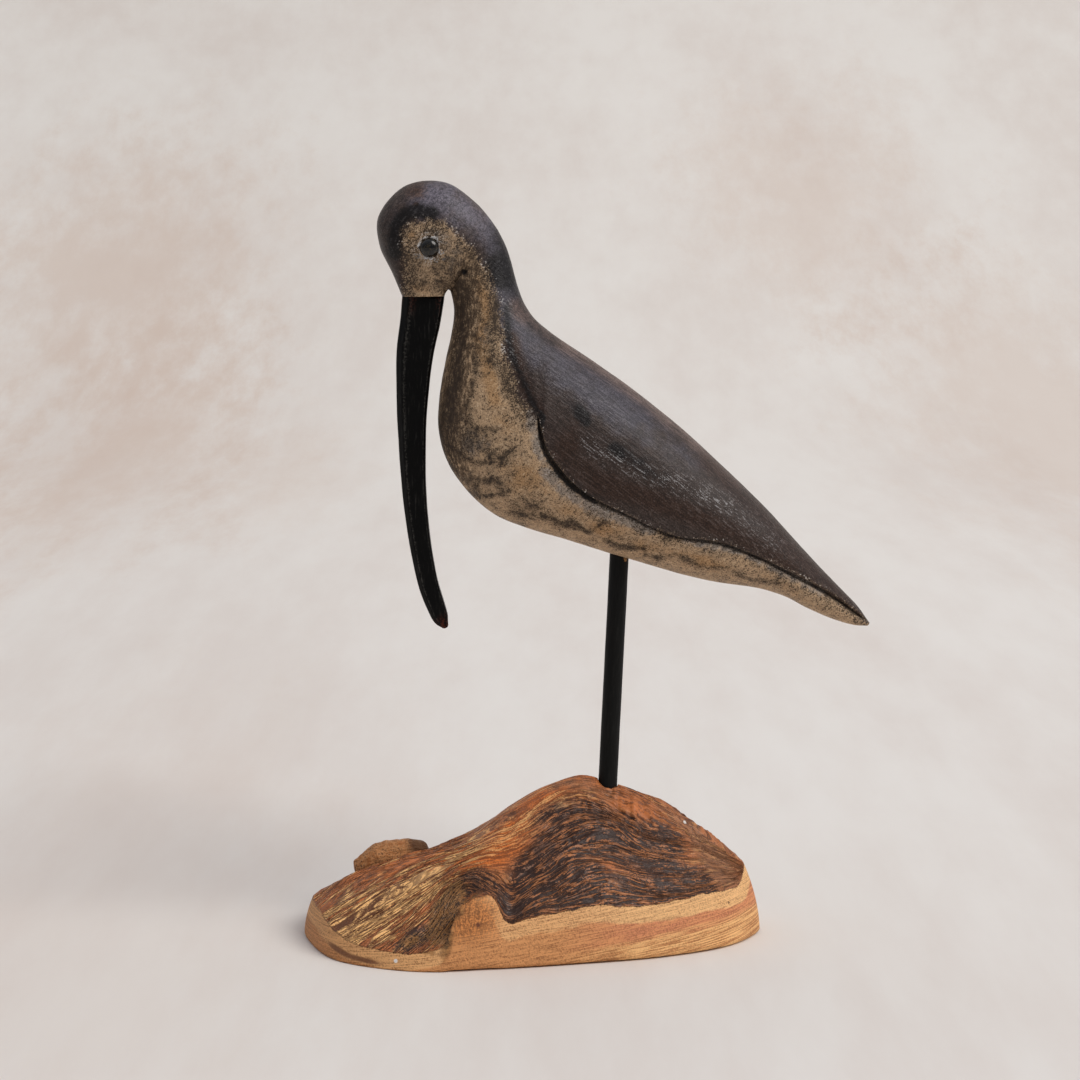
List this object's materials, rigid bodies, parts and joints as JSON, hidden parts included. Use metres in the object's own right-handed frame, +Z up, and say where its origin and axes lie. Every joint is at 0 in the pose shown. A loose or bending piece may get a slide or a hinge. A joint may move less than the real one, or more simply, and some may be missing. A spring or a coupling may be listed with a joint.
{
  "type": "shorebird decoy on a root wood base",
  "caption": "Carved and painted long-billed shorebird decoy on a dowel leg, standing on a sawn slice of root wood.",
  "frame": {"origin": "a point of the base's flat underside near its middle, under the plane that halves the bird", "axes": "+Z up, -X the way the bird's breast faces, +X toward its tail, +Y across the bird to its far side"},
  "size_m": [0.2346, 0.1079, 0.3125],
  "materials": {
    "painted_wood": "dark brown-grey paint above and speckled tan below, worn satin",
    "black_paint": "black paint, satin",
    "eye_bead": "black, glossy",
    "leg_paint": "black stained dowel, matt",
    "root_wood": "sawn sides and a natural root surface, lightly oiled"
  },
  "bodies": {
    "root": {"body": "painted_wood", "bill": "black_paint", "eye_near": "eye_bead", "eye_far": "eye_bead", "leg": "leg_paint", "base": "root_wood"}
  },
  "joints": []
}
